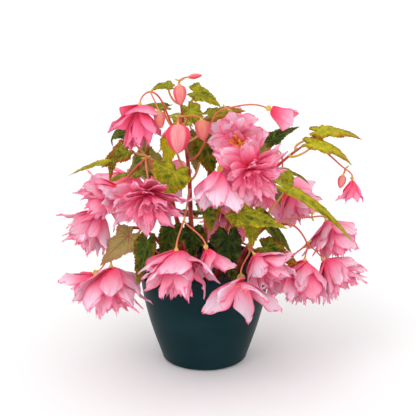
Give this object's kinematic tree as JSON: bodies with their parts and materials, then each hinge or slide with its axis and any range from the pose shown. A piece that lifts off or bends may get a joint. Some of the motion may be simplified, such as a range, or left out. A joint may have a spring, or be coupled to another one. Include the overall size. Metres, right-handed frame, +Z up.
{
  "type": "potted begonia",
  "caption": "Trailing begonia in a plain round tapered pot: double hanging flowers on arching stalks, pointed toothed leaves and branching fleshy stems standing in the soil.",
  "frame": {"origin": "centre of the pot's flat underside", "axes": "+Z up, -Y the front side, which the picture shows, +X to the picture's right"},
  "size_m": [0.3184, 0.2932, 0.3093],
  "materials": {
    "pot": "smooth dark teal plastic with a soft sheen",
    "soil": "dark crumbly potting soil",
    "stem": "fleshy red-brown stem with a slight sheen",
    "leaf": "olive to dark green leaf with paler veins and a red-brown edge",
    "petal": "soft pink petal, deeper at the root and paler at the edge, on a salmon stalk"
  },
  "bodies": {
    "root": {"pot": "pot", "soil": "soil", "stem_middle": "stem", "stem_left_high": "stem", "stem_left_low": "stem", "stem_right_high": "stem", "stem_right_low": "stem", "stem_front": "stem", "stem_back_left": "stem", "stem_back_right": "stem", "stem_back_middle": "stem", "leaf_top_left": "leaf", "leaf_top_right": "leaf", "leaf_upper_left": "leaf", "leaf_upper_middle": "leaf", "leaf_upper_right": "leaf", "leaf_curled": "leaf", "leaf_far_left": "leaf", "leaf_bright": "leaf", "leaf_broad": "leaf", "leaf_behind_left": "leaf", "leaf_middle": "leaf", "leaf_right_dark": "leaf", "leaf_right_high": "leaf", "leaf_right_arch": "leaf", "leaf_right_small": "leaf", "leaf_right_long": "leaf", "leaf_right_inner": "leaf", "leaf_right_brown": "leaf", "leaf_front_level": "leaf", "leaf_front_olive": "leaf", "leaf_front_yellow": "leaf", "leaf_front_dark": "leaf", "leaf_front_low": "leaf", "leaf_left_low": "leaf", "leaf_left_dark": "leaf", "leaf_left_front": "leaf", "leaf_back_left": "leaf", "leaf_back_middle": "leaf", "leaf_back_right": "leaf", "leaf_back_low": "leaf", "spray_top": "petal", "spray_top_left": "petal", "spray_upper": "petal", "spray_upper_right": "petal", "spray_centre": "petal", "spray_left": "petal", "spray_far_left": "petal", "spray_low_left": "petal", "spray_front": "petal", "spray_front_right": "petal", "spray_right": "petal", "spray_right_upper": "petal", "spray_behind_right": "petal", "spray_far_right": "petal", "bloom_inner": "petal", "spray_back_left": "petal", "spray_back_right": "petal", "spray_back_middle": "petal", "spray_back_low": "petal"}
  },
  "joints": []
}
